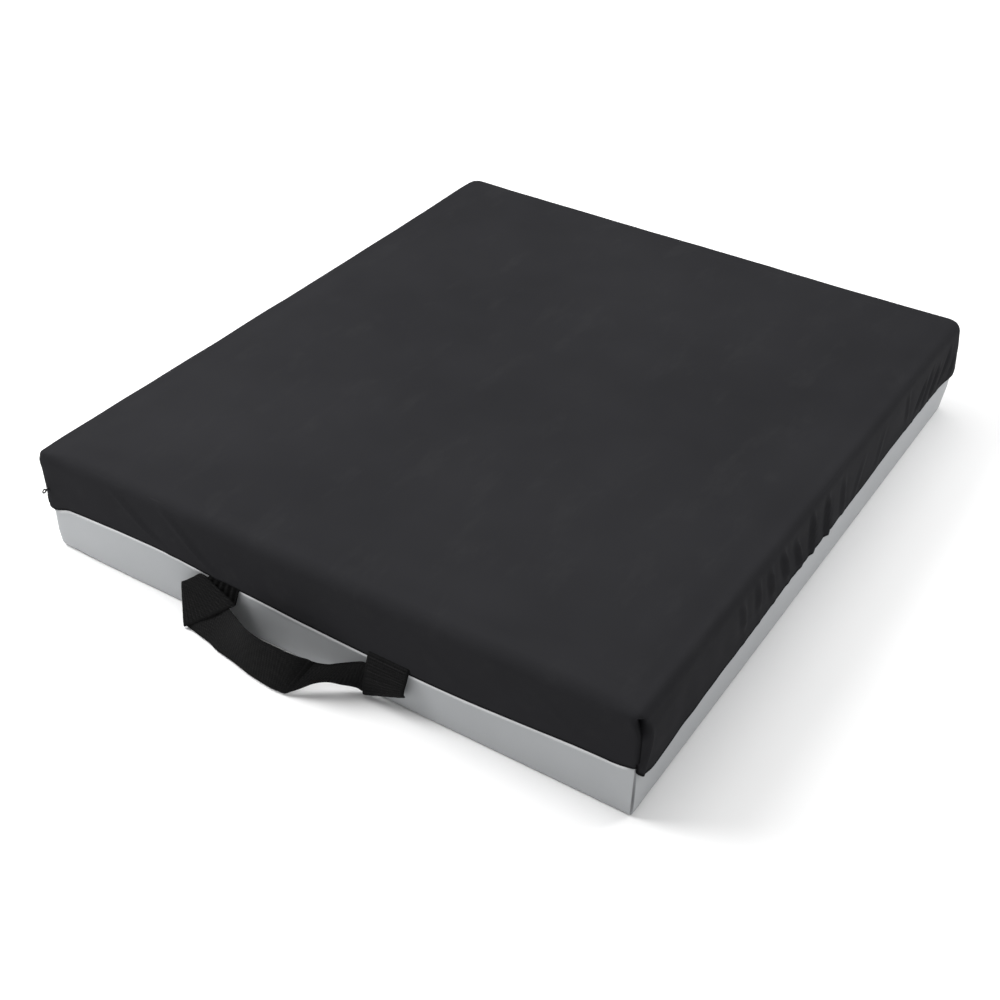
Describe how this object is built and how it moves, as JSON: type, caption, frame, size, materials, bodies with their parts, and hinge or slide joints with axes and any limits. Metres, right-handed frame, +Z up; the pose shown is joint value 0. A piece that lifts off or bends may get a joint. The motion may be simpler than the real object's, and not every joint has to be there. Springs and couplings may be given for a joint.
{
  "type": "kneeling pad",
  "caption": "Rectangular foam kneeling pad in a two-tone zip-off cover: black top over a grey base, with a webbing carry handle on one side.",
  "frame": {"origin": "centre of the flat underside of the pad, without the handle", "axes": "+Z up through the pad's thickness; -Y towards the side with the carry handle; X along that side"},
  "size_m": [0.43, 0.531, 0.075],
  "materials": {
    "grey_coated_fabric": "grey coated base fabric, smooth matte",
    "black_coated_fabric": "black coated stretch fabric, soft matte",
    "base_foam": "firm open-cell foam",
    "top_foam": "soft open-cell foam",
    "zip_tape": "woven zip tape",
    "zip_coil": "nylon coil",
    "grey_thread": "sewing thread",
    "black_thread": "sewing thread",
    "webbing": "ribbed woven webbing",
    "slider_metal": "black lacquered die-cast metal"
  },
  "bodies": {
    "base": {"base_tray": "grey_coated_fabric", "front_panel": "black_coated_fabric", "foam_base": "base_foam", "foam_top": "top_foam", "zip_tape_lower": "zip_tape", "zip_coil_lower": "zip_coil", "zip_thread_lower": "grey_thread", "zip_start_box": "zip_coil", "zip_end_stop_lower": "zip_coil", "corner_seam_thread": "grey_thread", "front_seam_thread": "black_thread", "strap_tails": "webbing", "strap_tacks": "black_thread"},
    "top_cover": {"top_panel": "black_coated_fabric", "zip_facing": "black_coated_fabric", "zip_tape_upper": "zip_tape", "zip_coil_upper": "zip_coil", "zip_thread_upper": "black_thread", "zip_end_stop_upper": "zip_coil", "cover_corner_seams": "black_coated_fabric"},
    "handle": {"handle_strap": "webbing"},
    "slider": {"zip_slider": "slider_metal"},
    "pull": {"zip_pull": "slider_metal"}
  },
  "joints": [
    {"name": "cover_open", "type": "hinge", "parent": "base", "child": "top_cover", "pos_m": [0, -0.241, 0.075], "axis": [1, 0, 0], "range_deg": [0, 95]},
    {"name": "handle_lift", "type": "hinge", "parent": "base", "child": "handle", "pos_m": [0, -0.2514, 0.033], "axis": [-1, 0, 0], "range_deg": [0, 90]},
    {"name": "zip_slide", "type": "slide", "parent": "base", "child": "slider", "axis": [0, 1, 0], "range_m": [0, 0.45]},
    {"name": "pull_swing", "type": "hinge", "parent": "slider", "child": "pull", "pos_m": [-0.2131, -0.2285, 0.043], "axis": [-1, 0, 0], "range_deg": [-13.5, 4.5]}
  ]
}
